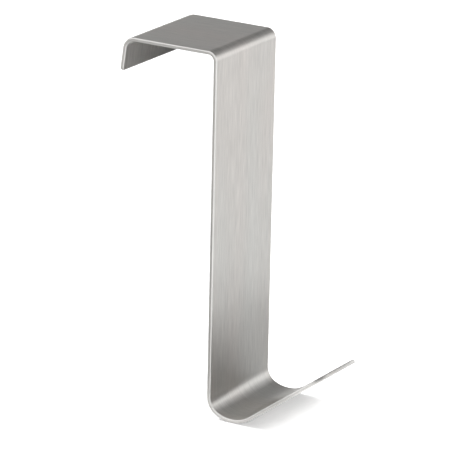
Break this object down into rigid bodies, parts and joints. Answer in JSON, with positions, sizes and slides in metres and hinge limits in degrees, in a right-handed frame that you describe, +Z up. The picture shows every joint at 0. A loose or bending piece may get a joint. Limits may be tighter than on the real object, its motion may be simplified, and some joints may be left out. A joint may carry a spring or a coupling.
{
  "type": "over door hook",
  "caption": "Over door hook bent from brushed stainless strip: a splayed lip, a flat top plate, a long flat shank and a wide upturned arm with a rounded tip.",
  "frame": {"origin": "middle of the door's top edge: on the underside of the top plate, half-way across the gap for the door and half-way across the strip", "axes": "+Z up as it hangs, -Y towards the front, where the hook's arm is, +X along the strip's width"},
  "size_m": [0.04, 0.0795, 0.1331],
  "materials": {
    "brushed_strip": "stainless steel brushed along the strip, edges broken smooth"
  },
  "bodies": {
    "root": {"door_hook": "brushed_strip"}
  },
  "joints": []
}
